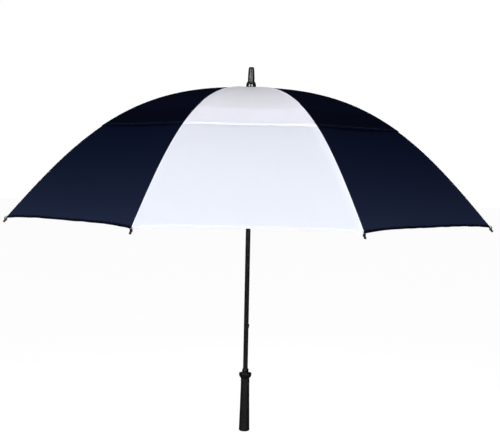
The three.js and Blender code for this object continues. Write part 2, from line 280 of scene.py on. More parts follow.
class N:
    """short node helper"""
    def __init__(self, nt):
        self.nt = nt

    def __call__(self, kind, inputs=None, **props):
        n = self.nt.nodes.new("ShaderNode" + kind)
        for k, v in props.items():
            setattr(n, k, v)
        for k, v in (inputs or {}).items():
            sock = n.inputs[k]
            if isinstance(v, bpy.types.NodeSocket):
                self.nt.links.new(v, sock)
            else:
                sock.default_value = v
        return n

    def math(self, op, a, b=0.0, clamp=False):
        n = self.nt.nodes.new("ShaderNodeMath")
        n.operation = op
        n.use_clamp = clamp
        for i, v in enumerate((a, b)):
            if isinstance(v, bpy.types.NodeSocket):
                self.nt.links.new(v, n.inputs[i])
            else:
                n.inputs[i].default_value = v
        return n.outputs[0]

    def mix(self, fac, a, b):
        n = self.nt.nodes.new("ShaderNodeMix")
        n.data_type = "RGBA"
        for sock, v in ((n.inputs[0], fac), (n.inputs[6], a), (n.inputs[7], b)):
            if isinstance(v, bpy.types.NodeSocket):
                self.nt.links.new(v, sock)
            else:
                sock.default_value = v
        return n.outputs[2]

    def ramp(self, fac, stops):
        n = self.nt.nodes.new("ShaderNodeValToRGB")
        self.nt.links.new(fac, n.inputs[0])
        cr = n.color_ramp
        cr.elements[0].position, cr.elements[0].color = stops[0][0], (*([stops[0][1]] * 3), 1)
        cr.elements[1].position, cr.elements[1].color = stops[-1][0], (*([stops[-1][1]] * 3), 1)
        for p, v in stops[1:-1]:
            e = cr.elements.new(p)
            e.color = (v, v, v, 1)
        return n.outputs[0]


def fabric(name, base, base2, rough, sheen, sheen_tint, trans, trans_col, spec=0.3, wear=0.02, low=None, lap_shade=None):
    """fine plain weave on the panel's own arc-length coordinates, with slub, soft tension shading and translucency"""
    m, nt, out = new_mat(name)
    n = N(nt)
    uv = n("UVMap", uv_map="weave").outputs[0]
    sep = n("SeparateXYZ", {0: uv})
    u, v = sep.outputs[0], sep.outputs[1]
    pitch = 0.00055
    wx = n.math("SINE", n.math("MULTIPLY", u, 2 * math.pi / pitch))
    wy = n.math("SINE", n.math("MULTIPLY", v, 2 * math.pi / pitch))
    plain = n.math("MULTIPLY", wx, wy)                       # over-under cells
    ridge = n.math("ADD", n.math("MULTIPLY", n.math("ABSOLUTE", wx), 0.5), n.math("MULTIPLY", n.math("ABSOLUTE", wy), 0.5))
    weave = n.math("ADD", n.math("MULTIPLY", plain, 0.5), ridge)
    slub = n("TexNoise", {"Vector": n("Mapping", {"Vector": uv, "Scale": (1400, 60, 1)}).outputs[0], "Scale": 1.0, "Detail": 2.0, "Roughness": 0.5}).outputs[0]
    slub2 = n("TexNoise", {"Vector": n("Mapping", {"Vector": uv, "Scale": (60, 1400, 1)}).outputs[0], "Scale": 1.0, "Detail": 2.0, "Roughness": 0.5}).outputs[0]
    cloud = n("TexNoise", {"Vector": uv, "Scale": 9.0, "Detail": 3.0, "Roughness": 0.55}).outputs[0]
    col = n.mix(n.math("MULTIPLY", n.math("ADD", slub, slub2), 0.5), base, base2)
    col = n.mix(n.math("MULTIPLY", n.math("ABSOLUTE", n.math("SUBTRACT", cloud, 0.5)), wear * 8, clamp=True), col, base2)
    if low:                                                  # painted light: the cloth's colour is brightened towards the hem
        down = n("Attribute", attribute_name="down").outputs[2]
        col = n.mix(n.math("POWER", down, 4.2), col, low)
    if lap_shade:                                                  # painted shade: the crown's colour is darkened by an amount that steps at the skirt's inner edge, where the skirt shows through
        over = n("Attribute", attribute_name="lap_shade").outputs[2]
        col = n.mix(over, col, lap_shade)
    height = n.math("ADD", n.math("MULTIPLY", weave, 0.6), n.math("MULTIPLY", n.math("ADD", slub, slub2), 0.4))
    bump = n("Bump", {"Height": height, "Strength": 0.35, "Distance": 0.00012}).outputs[0]
    soft = n("TexNoise", {"Vector": n("Mapping", {"Vector": uv, "Scale": (34, 14, 1)}).outputs[0], "Scale": 1.0, "Detail": 2.5, "Roughness": 0.5}).outputs[0]
    bump2 = n("Bump", {"Height": soft, "Strength": 0.5, "Distance": 0.0009, "Normal": bump}).outputs[0]
    p = n("BsdfPrincipled", {"Base Color": col, "Roughness": rough, "Specular IOR Level": spec, "Sheen Weight": sheen,
                             "Sheen Roughness": 0.4, "Sheen Tint": sheen_tint, "Normal": bump2})
    t = n("BsdfTranslucent", {"Color": trans_col, "Normal": bump2})
    mixn = n("MixShader", {0: trans, 1: p.outputs[0], 2: t.outputs[0]})
    nt.links.new(mixn.outputs[0], out.inputs[0])
    return m


def plastic(name, base, rough, bump_scale, bump_h, coat=0.0, rough_var=0.08, spec=0.5, metallic=0.0, streak=False, tint=None):
    """moulded or drawn surface: grain in colour, roughness and bump, in world scale"""
    m, nt, out = new_mat(name)
    n = N(nt)
    co = n("TexCoord").outputs["Object"]
    vec = n("Mapping", {"Vector": co, "Scale": (1, 1, 0.03) if streak else (1, 1, 1)}).outputs[0]
    fine = n("TexNoise", {"Vector": vec, "Scale": bump_scale, "Detail": 4.0, "Roughness": 0.6}).outputs[0]
    broad = n("TexNoise", {"Vector": co, "Scale": 38.0, "Detail": 3.0, "Roughness": 0.5}).outputs[0]
    b2 = tint or tuple(min(1, c * 1.5 + 0.004) for c in base[:3]) + (1,)
    col = n.mix(n.math("MULTIPLY", broad, 0.6), base, b2)
    r = n.math("ADD", rough - rough_var / 2, n.math("MULTIPLY", n.math("ADD", n.math("MULTIPLY", broad, 0.6), n.math("MULTIPLY", fine, 0.4)), rough_var))
    bump = n("Bump", {"Height": fine, "Strength": 0.4, "Distance": bump_h}).outputs[0]
    p = n("BsdfPrincipled", {"Base Color": col, "Roughness": r, "Specular IOR Level": spec, "Metallic": metallic,
                             "Coat Weight": coat, "Coat Roughness": 0.06, "Normal": bump})
    nt.links.new(p.outputs[0], out.inputs[0])
    return m


def rubber_grip(name):
    m, nt, out = new_mat(name)
    n = N(nt)
    co = n("TexCoord").outputs["Object"]
    cells = n("TexVoronoi", {"Vector": co, "Scale": 900.0}, feature="DISTANCE_TO_EDGE").outputs[0]
    grain = n("TexNoise", {"Vector": co, "Scale": 1600.0, "Detail": 3.0, "Roughness": 0.6}).outputs[0]
    broad = n("TexNoise", {"Vector": co, "Scale": 30.0, "Detail": 4.0, "Roughness": 0.6}).outputs[0]
    col = n.mix(broad, (0.0022, 0.0022, 0.0026, 1), (0.0042, 0.0042, 0.0048, 1))
    h = n.math("ADD", n.math("MULTIPLY", n.math("MINIMUM", cells, 0.25), 2.0), n.math("MULTIPLY", grain, 0.5))
    bump = n("Bump", {"Height": h, "Strength": 0.6, "Distance": 0.00012}).outputs[0]
    r = n.math("ADD", 0.5, n.math("MULTIPLY", broad, 0.16))
    p = n("BsdfPrincipled", {"Base Color": col, "Roughness": r, "Specular IOR Level": 0.17, "Sheen Weight": 0.01,
                             "Sheen Roughness": 0.5, "Normal": bump})
    nt.links.new(p.outputs[0], out.inputs[0])
    return m


# painted light and shade: crown and skirt are the same cloth, but their copies differ in base colour, the white crown
# painted lighter than the white skirt; the skirt copies' low colours paint light towards the hem
WHITE = fabric("cloth_white", (0.915, 0.895, 0.93, 1), (0.87, 0.855, 0.895, 1), 0.62, 0.02, (1, 1, 1, 1), 0.69, (0.875, 0.887, 0.925, 1), lap_shade=(0, 0, 0, 1))
WHITE_LOW = fabric("cloth_white_skirt", (0.765, 0.786, 0.842, 1), (0.72, 0.742, 0.80, 1), 0.62, 0.02, (1, 1, 1, 1), 0.69, (0.875, 0.887, 0.925, 1), low=(0.765, 0.79, 0.85, 1))
WHITE_HEM = fabric("cloth_white_folded", (0.85, 0.865, 0.915, 1), (0.81, 0.825, 0.875, 1), 0.62, 0.02, (1, 1, 1, 1), 0.67, (0.87, 0.88, 0.92, 1))
NAVY = fabric("cloth_navy", (0.0006, 0.0013, 0.0066, 1), (0.0013, 0.0022, 0.0088, 1), 0.72, 0.0, (0.35, 0.38, 0.75, 1), 0.2, (0.005, 0.010, 0.040, 1), spec=0.018, lap_shade=(0, 0, 0, 1))
NAVY_LOW = fabric("cloth_navy_skirt", (0.0003, 0.0014, 0.0082, 1), (0.0008, 0.0022, 0.0105, 1), 0.72, 0.0, (0.35, 0.38, 0.75, 1), 0.2, (0.005, 0.010, 0.040, 1), spec=0.018, low=(0.0086, 0.0128, 0.0300, 1))
NAVY_HEM = fabric("cloth_navy_folded", (0.0009, 0.0015, 0.0062, 1), (0.0016, 0.0024, 0.0085, 1), 0.72, 0.0, (0.35, 0.38, 0.75, 1), 0.08, (0.003, 0.006, 0.026, 1), spec=0.018)
# painted shade: the white seam allowance is coloured grey and made less translucent, so it shows as shade between the
# panels
TAPE_W_SHADE = fabric("cloth_white_allowance_painted_shade", (0.46, 0.465, 0.49, 1), (0.42, 0.425, 0.45, 1), 0.66, 0.02, (1, 1, 1, 1), 0.35, (0.45, 0.455, 0.48, 1))
TIP = plastic("tip_black", (0.002, 0.002, 0.0025, 1), 0.34, 1200, 0.00004, rough_var=0.1, spec=0.2)
THREAD_W = plastic("thread_white", (0.72, 0.74, 0.78, 1), 0.6, 5000, 0.0001, spec=0.3)
THREAD_N = plastic("thread_navy", (0.012, 0.018, 0.045, 1), 0.55, 5000, 0.0001, spec=0.3)
SHAFT = plastic("shaft_black", (0.004, 0.004, 0.006, 1), 0.2, 900, 0.00002, coat=0.7, streak=True, rough_var=0.06)
GLOSS = plastic("moulding_gloss", (0.004, 0.004, 0.005, 1), 0.16, 700, 0.00003, coat=0.5, rough_var=0.05)
SATIN = plastic("nylon_satin", (0.010, 0.010, 0.011, 1), 0.38, 1500, 0.00006, rough_var=0.14)
COLLAR = plastic("collar_satin", (0.0018, 0.0018, 0.0022, 1), 0.46, 1300, 0.00005, rough_var=0.12, spec=0.16)
FIBRE = plastic("fibreglass_black", (0.010, 0.010, 0.012, 1), 0.32, 1800, 0.00005, rough_var=0.16, streak=True)
STEEL = plastic("steel_wire", (0.52, 0.53, 0.55, 1), 0.3, 2200, 0.00003, metallic=1.0, rough_var=0.15)
DARKSTEEL = plastic("steel_blackened", (0.10, 0.10, 0.11, 1), 0.34, 2200, 0.00003, metallic=1.0, rough_var=0.15)
SPIKE = plastic("spike_satin", (0.004, 0.004, 0.005, 1), 0.30, 900, 0.00003, coat=0.0, rough_var=0.08, spec=0.36)
GRIP = rubber_grip("grip_rubber")

# ------------------------------------------------------------------ canopy cloth
UP_IN, UP_OUT = 9.8, 421.0
LO_IN, LO_OUT = 340.0, RIM_R


def cloth_rows(a, b, step, hem_in, hem_out):
    """arc distances from the panel's inner edge to its outer edge; finer rows over the folded hems"""
    s0, s1 = arc(a), arc(b)
    length = s1 - s0
    lo = [0.0, 4.0, hem_in - 0.6, hem_in + 0.6] if hem_in else [0.0]
    hi = [hem_out + 0.6, hem_out - 0.6, 4.0, 0.0] if hem_out else [0.0]
    start, stop = lo[-1], length - hi[0]
    k = max(2, int(round((stop - start) / step)))
    mid = list(np.linspace(start, stop, k + 1))[1:-1]
    return lo, mid, [length - h for h in hi], length


def waves(t, seed, n=5, base=1.0):
    """sum of a few sines with fixed seeds, roughly within -1..1"""
    r = np.random.default_rng(seed)
    out = np.zeros_like(np.asarray(t, float))
    for k in range(n):
        out = out + r.uniform(0.5, 1) * np.sin(t * base * r.uniform(0.6, 1.7) + r.uniform(0, 6.28))
    return out / n * 1.5


def build_panel(kind, i, mat, hem_mat, thread, body):
    deg = 45.0 * (i - 1)
    upper = kind == "upper"
    a, b = (UP_IN, UP_OUT) if upper else (LO_IN, LO_OUT)
    hem_in, hem_out = (0, 9.0) if upper else (7.0, 9.0)
    rise_in, rise_out = (0.0, 3.5) if upper else (-9.0, 13.5)
    step = 5.0
    lo, mid, hi, length = cloth_rows(a, b, step, hem_in, hem_out)
    S = np.array(lo + mid + hi)
    nv = 40
    V = np.sin(np.linspace(-1, 1, nv + 1) * math.pi / 2) * 0.35 + np.linspace(-1, 1, nv + 1) * 0.65
    V[0], V[-1] = -1, 1
    SS, VV = np.meshgrid(S, V, indexing="ij")
    f = SS / length
    bow = 1 - VV**2
    flat = 1 - np.abs(VV) ** 3.2
    s_abs = arc(a) + SS - rise_in * bow * (1 - f) ** 3 * (1 if not upper else 0) - rise_out * flat * f**3
    R = rho_at(s_abs)
    drop = 0.0 if upper else 1.3
    X, Z = dome_pt(R, -drop)
    m = dome_slope(R)
    L = np.hypot(1, m)
    nx, nz = -m / L, 1 / L
    half = X * S225 - 0.3
    Y = VV * half
    X = X * C225
    width = 2 * half
    # taut cloth between the ribs sags inwards a little, most at mid width
    if upper:
        sag = 0.016 * width * bow * (1 - 0.30 * f**4)
    else:
        sag = 0.017 * width * bow * (1 - 0.15 * f) + 1.6 * bow * np.exp(-SS / 50.0)
    d = -sag
    dist = (1 - np.abs(VV)) * half                          # distance to the seam
    # seam pucker, strongest in the first 15 mm
    seed = 100 * i + (7 if upper else 3)
    side = np.where(VV < 0, 0, 1)
    for sd in (0, 1):
        pk = waves(s_abs / 1000 * 2 * math.pi * 45, seed + sd, 4)
        d = d + np.where(side == sd, 1, 0) * 0.30 * pk * np.exp(-dist / 9.0) * (1 - np.exp(-dist / 2.0))
    # long, shallow tension folds running from the seams towards mid width
    fold = waves(s_abs / 1000 * 2 * math.pi * 9 + VV * 2.0, seed + 11, 4)
    d = d + 0.45 * fold * bow * np.exp(-dist / 70.0) * np.clip(dist / 20, 0, 1)
    # hem ripple
    he = length - SS
    ripple = waves(Y / 1000 * 2 * math.pi * (26 if upper else 16), seed + 23, 5)
    amp = (1.7 if upper else 0.9)
    d = d + amp * ripple * np.exp(-he / (15.0 if upper else 20.0)) * np.clip(dist / 16, 0, 1)
    if upper:
        # the vent's hem stands off the skirt between the ribs
        d = d + 0.9 * bow * np.exp(-he / 40.0)
        d = d + 0.95 * np.exp(-((he - hem_out - 1.0) / 2.8) ** 2) * np.clip(dist / 10, 0, 1) * (1 + 0.7 * waves(Y / 1000 * 2 * math.pi * 12, seed + 31, 4))
        # gathers where the crown panels are clamped under the cap
        d = d + 0.5 * np.sin(VV * math.pi * 3) * np.exp(-(SS) / 25.0) * bow
    X = X + nx * d
    Z = Z + nz * d
    # cloth thickness, doubled over the folded hems
    t = np.full_like(X, 0.42)
    t = np.where(he < hem_out, 0.95, t) if hem_out else t
    t = np.where(SS < hem_in, 0.95, t) if hem_in else t
    top = np.stack([X + nx * t / 2, Y, Z + nz * t / 2], -1).reshape(-1, 3)
    bot = np.stack([X - nx * t / 2, Y, Z - nz * t / 2], -1).reshape(-1, 3)
    nr, nc = SS.shape
    idx = np.arange(nr * nc).reshape(nr, nc)
    q = lambda A: np.stack([A[:-1, :-1], A[1:, :-1], A[1:, 1:], A[:-1, 1:]], -1).reshape(-1, 4)
    ftop = q(idx)
    fbot = q(idx + nr * nc)[:, ::-1]
    rim = list(idx[0, :]) + list(idx[1:, -1]) + list(idx[-1, :-1][::-1]) + list(idx[1:-1, 0][::-1])
    rim = np.array(rim)
    nxt = np.roll(rim, -1)
    frim = np.stack([nxt, rim, rim + nr * nc, nxt + nr * nc], -1)
    verts = place(np.concatenate([top, bot]), deg)
    faces = np.concatenate([ftop, fbot, frim])
    uv = np.stack([Y.ravel() * MM, s_abs.ravel() * MM], -1)
    uv = np.concatenate([uv, uv])
    name = ("crown_panel_" if upper else "skirt_panel_") + str(i)
    rowmid = (S[:-1] + S[1:]) / 2
    hem_row = (rowmid > length - hem_out) | (rowmid < hem_in)
    fm = np.repeat(hem_row.astype(int), nc - 1)
    fm = np.concatenate([fm, fm, np.ones(len(frim), int)])
    o = make_object(name, verts, faces, [mat, hem_mat], fm, uv=uv, sharp=50)
    # painted light: fraction of the way down the canopy, which brightens the cloth towards the hem
    down = np.clip(s_abs / arc(LO_OUT), 0, 1).ravel()
    # painted shade: how far the crown is darkened; the navy crown below the skirt's inner edge, the white crown a
    # little above it and more towards the vent hem
    edge = arc(LO_IN) + 9.0 * bow + 1.5 * waves(VV * 6.0, seed + 51, 3)
    over = np.clip((s_abs - edge) / 2.0 + 0.5, 0, 1) if upper else np.zeros_like(s_abs)
    over = (over * 0.28 if i % 2 == 0 else 0.045 * (1 - over) + over * 0.10 * np.clip((s_abs - edge) / 60.0, 0, 1)).ravel()
    for key, val in (("down", down), ("lap_shade", over)):
        at = o.data.attributes.new(key, "FLOAT", "POINT")
        at.data.foreach_set("value", np.concatenate([val, val]).astype(np.float32))
    fix_normals(o)
    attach(o, body)
    et = to_world(0, 1, 0, deg) / MM
    anchor = to_world(100, 0, 900, deg)
    node = f"canopy_{kind}_{i}"
    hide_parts(node)
    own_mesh(o)

    # stitching: short thread lengths laid on the cloth along hems and seams
    B = Builder()
    grid = np.stack([X, Y, Z], -1)
    nrm = np.stack([nx * np.ones_like(Y), np.zeros_like(Y), nz * np.ones_like(Y)], -1)

    def sample(si, vj):
        # bilinear on the grid by row position and column position
        ri = np.interp(si, S, np.arange(nr)); ci = np.interp(vj, V, np.arange(nc))
        r0 = np.clip(ri.astype(int), 0, nr - 2); c0 = np.clip(ci.astype(int), 0, nc - 2)
        fr, fc = (ri - r0)[:, None], (ci - c0)[:, None]
        g = lambda G: (G[r0, c0] * (1 - fr) * (1 - fc) + G[r0 + 1, c0] * fr * (1 - fc) + G[r0, c0 + 1] * (1 - fr) * fc + G[r0 + 1, c0 + 1] * fr * fc)
        return g(grid), g(nrm)

    def stitch_line(si, vj, thick, gap=3.2, length_=2.3, w=0.45, both=True):
        P, Nn = sample(np.asarray(si, float), np.asarray(vj, float))
        seg = np.r_[0, np.cumsum(np.linalg.norm(np.diff(P, axis=0), axis=1))]
        count = int(seg[-1] / gap)
        if count < 1:
            return
        starts = (np.arange(count) + 0.15) * gap
        for sgn in ((1, -1) if both else (1,)):
            at = lambda s_: np.stack([np.interp(s_, seg, P[:, k]) for k in range(3)], -1)
            n_at = np.stack([np.interp(starts, seg, Nn[:, k]) for k in range(3)], -1)
            p0, p1 = at(starts), at(starts + length_)
            tdir = p1 - p0
            tdir /= np.linalg.norm(tdir, axis=1)[:, None]
            bdir = np.cross(n_at, tdir)
            off = n_at * sgn * (thick / 2)
            # each stitch is a low arch: ends sunk in the cloth, middle proud
            ring = []
            for frac, hgt, ww in ((0.0, -0.15, 0.5), (0.25, 0.14, 1.0), (0.75, 0.14, 1.0), (1.0, -0.15, 0.5)):
                c = p0 + (p1 - p0) * frac + off + n_at * sgn * hgt
                for (bx, bz) in ((-1, -0.4), (0, 0.8), (1, -0.4)):
                    ring.append(c + bdir * (bx * w / 2 * ww) + n_at * sgn * (bz * w / 2 * ww))
            A = np.stack(ring, 1)                             # count, 12, 3
            base = np.arange(count)[:, None] * 12
            fl = []
            for k in range(3):
                for j in range(3):
                    jj = (j + 1) % 3
                    fl.append([k * 3 + j, k * 3 + jj, (k + 1) * 3 + jj, (k + 1) * 3 + j])
            quads = (np.array(fl)[None] + base[:, :, None]).reshape(-1, 4)
            caps = (np.array([[0, 2, 1], [9, 10, 11]])[None] + base[:, :, None]).reshape(-1, 3)
            B.add(place(A.reshape(-1, 3), deg), [tuple(x) for x in quads] + [tuple(x) for x in caps])

    vv = np.linspace(-0.985, 0.985, 120)
    stitch_line(np.full(120, length - hem_out + 1.6), vv, 0.95)
    if hem_in:
        stitch_line(np.full(120, hem_in - 1.6), vv, 0.95)
    if not upper:
        ss = np.linspace(14, length - 12, 160)
    else:
        ss = np.linspace(26, length - 12, 160)
    h = rho_at(arc(a) + ss) * S225
    for sg in (-1, 1):
        stitch_line(ss, sg * (1 - 3.0 / h), 0.42)
    st = B.make(("crown_stitching_" if upper else "skirt_stitching_") + str(i), [thread], sharp=None)
    fix_normals(st)
    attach(st, body)
    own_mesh(st)
    return o


for i in range(1, 9):
    cloth, hem, thread = (WHITE, WHITE_HEM, THREAD_W) if i % 2 else (NAVY, NAVY_HEM, THREAD_N)
    build_panel("upper", i, cloth, hem, thread, f"canopy_upper_{i}")
    build_panel("lower", i, WHITE_LOW if i % 2 else NAVY_LOW, hem, thread, f"canopy_lower_{i}")


# ------------------------------------------------------------------ seams over the ribs
def build_seam(i, part):
    """felled seam: a narrow welt outside, a web in the joint and the two pressed allowances inside"""
    deg = 22.5 + 45.0 * (i - 1)
    if part == "inner":
        r = np.linspace(15, FLEX_RHO - 3, 60); drop = 0.0; body = f"rib_inner_{i}"
    else:
        r = np.linspace(FLEX_RHO + 4, RIM_R - 1.0, 64); drop = 1.3; body = f"rib_outer_{i}"
    x, z = dome_pt(r, -drop)
    m = dome_slope(r); L = np.hypot(1, m); nx, nz = -m / L, 1 / L
    # the allowances are wide enough to bridge the gathered panels when the frame is closed
    if part == "inner":
        wi = np.minimum(16.0, r * 0.16)
    else:
        wi = np.interp(r, [FLEX_RHO, 360, 560, 620, RIM_R], [14.0, 12.0, 12.0, 7.5, 5.0])
    halfw = x * S225
    near = 1 - (1 - wi / halfw) ** 2
    dip = (0.0335 * halfw if part == "inner" else 0.035 * halfw + 1.6 * np.exp(-np.maximum(arc(r) - arc(LO_IN), 0) / 50.0)) * near
    wo = 1.0
    tilt = S225 / C225                 # the panels fall away from the rib on each side
    sec = []
    # outline: welt (outside), web, allowance (inside); y, n pairs, anticlockwise
    lo_gap = 0.24
    verts = []
    for k in range(len(r)):
        sl = abs(m[k]) / L[k]
        fall = lambda y: -abs(y) * tilt * sl     # panel surface relative to the rib line, along the normal
        w = wi[k]
        pts = [(-wo, 0.30 + fall(wo)), (-wo * 0.6, 0.62 + fall(wo * 0.6)), (wo * 0.6, 0.62 + fall(wo * 0.6)), (wo, 0.30 + fall(wo)),
               (lo_gap, 0.24), (lo_gap, -0.26), (w, -0.30 + fall(w) - dip[k]), (w, -0.75 + fall(w) - dip[k]), (0, -0.85),
               (-w, -0.75 + fall(w) - dip[k]), (-w, -0.30 + fall(w) - dip[k]), (-lo_gap, -0.26), (-lo_gap, 0.24)]
        for y, nn in pts:
            verts.append((x[k] + nx[k] * nn, y, z[k] + nz[k] * nn))
    n = 13
    faces, mats = [], []
    for k in range(len(r) - 1):
        for j in range(n):
            jj = (j + 1) % n
            faces.append((k * n + j, k * n + jj, (k + 1) * n + jj, (k + 1) * n + j))
            if j in (0, 1, 2, 3, 4, 11, 12, 10):
                mats.append(0)
            else:
                # painted shade: the allowance on the white side takes the grey copy of the white cloth
                right_white = (i % 2 == 0)         # panel on the +side of rib i is panel i+1
                mats.append(2 if ((j in (5, 6, 7)) == right_white) else 1)
    faces.append(tuple(range(n))); mats.append(0)
    faces.append(tuple(reversed(range((len(r) - 1) * n, len(r) * n)))); mats.append(0)
    V = np.array(verts)
    uv = np.stack([V[:, 1] * MM, np.repeat(arc(r), n) * MM], -1)
    o = make_object(f"seam_{part}_{i}", place(V, deg), faces, [WHITE, NAVY, TAPE_W_SHADE], mats, uv=uv, sharp=40)
    fix_normals(o)
    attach(o, body)
    return o


for i in range(1, 9):
    build_seam(i, "inner")
    build_seam(i, "outer")


# ------------------------------------------------------------------ ribs, brackets, stretchers, tips
def build_rib(i):
    deg = 22.5 + 45.0 * (i - 1)
    r = np.concatenate([np.linspace(15.5, 60, 12), np.linspace(66, 300, 34), np.linspace(304, 356, 22), np.linspace(364, RIM_R, 44)])
    x, z = rib_pt(r)
    d = rib_dir(RIM_R)
    ex = np.array([[x[-1] + d[0] * k, z[-1] + d[1] * k] for k in (4.0, 8.0)])
    x, z = np.r_[x, ex[:, 0]], np.r_[z, ex[:, 1]]
    rr = np.r_[r, 671, 675]
    rad = np.interp(rr, [15, 200, 330, 672], [2.0, 2.0, 1.95, 1.35])
    P = np.stack([x, np.zeros_like(x), z], 1)
    B = Builder()
    v, f = sweep(P, rad, n=14)
    B.add(place(v, deg), f, 0)
    o = B.make(f"rib_{i}", [FIBRE], sharp=45)
    fix_normals(o)
    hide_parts(f"rib_inner_{i}", f"rib_outer_{i}")
    a, b = rib_pt(FLEX_RHO - 8.0), rib_pt(FLEX_RHO + 22.0)
    tuple(to_world(a[0], 0, a[1], deg))
    tuple(to_world(b[0], 0, b[1], deg))
    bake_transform(o)
    # crown end: pressed steel eye crimped on the rod
    B = Builder()
    e = np.array([PIVOT_R, CROWN_Z]); q = np.array(rib_pt(19.0)); dd = (q - e) / np.linalg.norm(q - e)
    n_ = np.array([-dd[1], dd[0]])
    ring = []
    for k in range(25):
        t = math.radians(18 + 324 * k / 24)
        ring.append(e + 2.15 * (dd * math.cos(t) + n_ * math.sin(t)))
    inner = [e + 0.95 * (dd * math.cos(math.radians(18 + 324 * k / 24)) + n_ * math.sin(math.radians(18 + 324 * k / 24))) for k in range(24, -1, -1)]
    v, f = prism(ring + inner, -1.15, 1.15, 0.12)
    B.add(place(v, deg), f, 0)
    v, f = prism([e + dd * 1.7 + n_ * 1.45, e + dd * 1.7 - n_ * 1.45, e + dd * 9.2 - n_ * 1.6, e + dd * 9.2 + n_ * 1.6], -1.15, 1.15, 0.2)
    B.add(place(v, deg), f, 0)
    cr = np.array([e + dd * k for k in np.linspace(5.6, 14.5, 8)])
    v, f = sweep(np.stack([cr[:, 0], np.zeros(8), cr[:, 1]], 1), [1.9, 2.35, 2.4, 2.4, 2.4, 2.4, 2.35, 2.1], n=18)
    B.add(place(v, deg), f, 0)
    c = B.make(f"rib_eye_{i}", [DARKSTEEL], sharp=35)
    fix_normals(c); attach(c, f"rib_inner_{i}")
    # stretcher bracket: crimped sleeve with two ribs and a hanging lug
    B = Builder()
    pr = np.array(rib_pt(P_RHO)); da = rib_dir(P_RHO)
    ks = np.array([-8.2, -7.6, -6.2, -5.6, -1.8, -1.2, 0.4, 1.0, 3.6, 4.2])
    rs = [2.25, 2.6, 2.6, 2.35, 2.35, 2.6, 2.6, 2.4, 2.4, 2.2]
    cr = np.array([pr + da * k for k in ks])
    v, f = sweep(np.stack([cr[:, 0], np.zeros(len(ks)), cr[:, 1]], 1), rs, n=20)
    B.add(place(v, deg), f, 0)
    v, f = prism(rounded_bar(pr, P_PIVOT, 5.2), -0.95, 0.95, 0.2)
    B.add(place(v, deg), f, 0)
    c = B.make(f"rib_bracket_{i}", [SATIN], sharp=35)
    fix_normals(c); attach(c, f"rib_inner_{i}")


def build_stretcher(i):
    deg = 22.5 + 45.0 * (i - 1)
    a, b = np.array([PIVOT_R, RUNNER_Z]), np.array(P_PIVOT)
    dd = (b - a) / np.linalg.norm(b - a); n_ = np.array([-dd[1], dd[0]])
    L = np.linalg.norm(b - a)
    B = Builder()
    pts = np.array([a + dd * k for k in np.linspace(8.5, L - 8, 30)])
    v, f = sweep(np.stack([pts[:, 0], np.zeros(30), pts[:, 1]], 1), [1.85] * 30, n=14)
    B.add(place(v, deg), f, 0)
    # eye at the runner
    ring = [a + 2.15 * (dd * math.cos(math.radians(t)) + n_ * math.sin(math.radians(t))) for t in np.linspace(18, 342, 25)]
    inner = [a + 0.95 * (dd * math.cos(math.radians(t)) + n_ * math.sin(math.radians(t))) for t in np.linspace(342, 18, 25)]
    v, f = prism(ring + inner, -1.15, 1.15, 0.12); B.add(place(v, deg), f, 1)
    v, f = prism([a + dd * 1.7 + n_ * 1.45, a + dd * 1.7 - n_ * 1.45, a + dd * 9.5 - n_ * 1.6, a + dd * 9.5 + n_ * 1.6], -1.15, 1.15, 0.2); B.add(place(v, deg), f, 1)
    cr = np.array([a + dd * k for k in np.linspace(6.0, 15.5, 8)])
    v, f = sweep(np.stack([cr[:, 0], np.zeros(8), cr[:, 1]], 1), [1.7, 2.2, 2.25, 2.25, 2.25, 2.25, 2.2, 1.95], n=18); B.add(place(v, deg), f, 1)
    # fork at the rib, with a headed rivet
    for y0, y1 in ((-2.35, -1.4), (1.4, 2.35)):
        v, f = prism(rounded_bar(b - dd * 9.5, b, 4.6), y0, y1, 0.15); B.add(place(v, deg), f, 1)
    v, f = prism([b - dd * 11.5 + n_ * 2.1, b - dd * 11.5 - n_ * 2.1, b - dd * 5.4 - n_ * 2.1, b - dd * 5.4 + n_ * 2.1], -2.35, 2.35, 0.25); B.add(place(v, deg), f, 1)
    cr = np.array([b - dd * k for k in np.linspace(16.5, 9.0, 7)])
    v, f = sweep(np.stack([cr[:, 0], np.zeros(7), cr[:, 1]], 1), [1.95, 2.2, 2.3, 2.3, 2.3, 2.35, 2.35], n=18); B.add(place(v, deg), f, 1)
    v, f = bar_y(b[0], b[1], 0.9, -2.7, 2.7, 16, 0.15); B.add(place(v, deg), f, 2)
    for y0, y1 in ((-2.95, -2.4), (2.4, 2.95)):
        v, f = bar_y(b[0], b[1], 1.7, y0, y1, 20, 0.22); B.add(place(v, deg), f, 2)
    o = B.make(f"stretcher_arm_{i}", [FIBRE, DARKSTEEL, STEEL], sharp=35)
    fix_normals(o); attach(o, f"stretcher_{i}"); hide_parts(f"stretcher_{i}")


